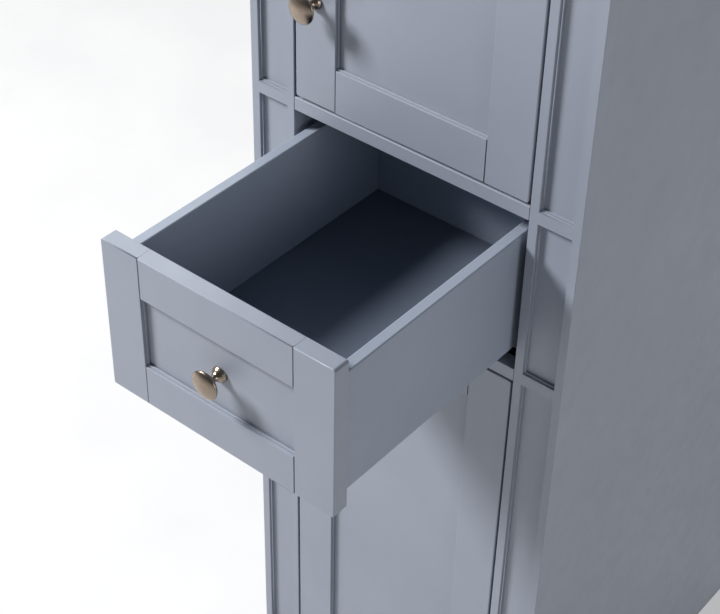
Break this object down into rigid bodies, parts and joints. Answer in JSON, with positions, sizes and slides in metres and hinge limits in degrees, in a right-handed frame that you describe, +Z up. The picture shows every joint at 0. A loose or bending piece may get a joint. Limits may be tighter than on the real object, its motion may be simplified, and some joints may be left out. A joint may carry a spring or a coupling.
{
  "type": "pantry cabinet",
  "caption": "Tall inset cabinet with a shelved upper door, a drawer and a shelved lower door in a face frame with panelled pilasters.",
  "frame": {"origin": "on the floor, at the middle of the back panel's rear face", "axes": "+Z up, +X across the width, the front faces -Y"},
  "size_m": [0.457, 0.9415, 2.134],
  "materials": {
    "paint": "satin paint",
    "inside_paint": "satin paint",
    "drawer_paint": "satin paint",
    "steel": "zinc plated",
    "knob_metal": "satin nickel"
  },
  "bodies": {
    "case": {"side_panel_left": "paint", "side_panel_right": "paint", "pilaster_left": "paint", "pilaster_right": "paint", "face_rail_top": "paint", "face_rail_upper": "paint", "face_rail_lower": "paint", "face_rail_bottom": "paint", "toe_board": "paint", "top_panel": "inside_paint", "bottom_panel": "inside_paint", "drawer_deck": "inside_paint", "back_panel": "inside_paint", "wall_rail": "inside_paint", "upper_shelf_1": "inside_paint", "upper_shelf_2": "inside_paint", "upper_shelf_3": "inside_paint", "lower_shelf_1": "inside_paint", "hinge_post_upper": "inside_paint", "hinge_post_lower": "inside_paint", "bay_liner_left": "inside_paint", "bay_liner_right": "inside_paint", "slide_rail_left": "steel", "slide_rail_right": "steel", "upper_door_hinge_plate_1": "steel", "upper_door_hinge_plate_2": "steel", "upper_door_hinge_plate_3": "steel", "lower_door_hinge_plate_1": "steel", "lower_door_hinge_plate_2": "steel"},
    "slide_middles": {"slide_middle_left": "steel", "slide_middle_right": "steel"},
    "drawer": {"drawer_front_stile_left": "paint", "drawer_front_stile_right": "paint", "drawer_front_rail_bottom": "paint", "drawer_front_rail_top": "paint", "drawer_front_panel": "paint", "drawer_side_left": "drawer_paint", "drawer_side_right": "drawer_paint", "drawer_back": "drawer_paint", "drawer_bottom": "drawer_paint", "slide_runner_left": "steel", "slide_runner_right": "steel", "drawer_knob": "knob_metal"},
    "upper_door": {"upper_door_stile_left": "paint", "upper_door_stile_right": "paint", "upper_door_rail_bottom": "paint", "upper_door_rail_top": "paint", "upper_door_panel": "paint", "upper_door_hinge_cup_1": "steel", "upper_door_hinge_cup_2": "steel", "upper_door_hinge_cup_3": "steel", "upper_door_knob": "knob_metal"},
    "lower_door": {"lower_door_stile_left": "paint", "lower_door_stile_right": "paint", "lower_door_rail_bottom": "paint", "lower_door_rail_top": "paint", "lower_door_panel": "paint", "lower_door_hinge_cup_1": "steel", "lower_door_hinge_cup_2": "steel", "lower_door_knob": "knob_metal"}
  },
  "joints": [
    {"name": "drawer_slide", "type": "slide", "parent": "case", "child": "drawer", "axis": [0, -1, 0], "range_m": [-0.3085, 0.1]},
    {"name": "slide_middle_travel", "type": "slide", "parent": "case", "child": "slide_middles", "axis": [0, -1, 0], "range_m": [-0.15425, 0.05]},
    {"name": "upper_door_hinge", "type": "hinge", "parent": "case", "child": "upper_door", "pos_m": [0.162, -0.61, 1.5], "axis": [0, 0, 1], "range_deg": [0, 110]},
    {"name": "lower_door_hinge", "type": "hinge", "parent": "case", "child": "lower_door", "pos_m": [0.162, -0.61, 0.4], "axis": [0, 0, 1], "range_deg": [0, 110]}
  ],
  "couplings": [
    {"joint": "slide_middle_travel", "follows": "drawer_slide", "ratio": 0.5}
  ]
}
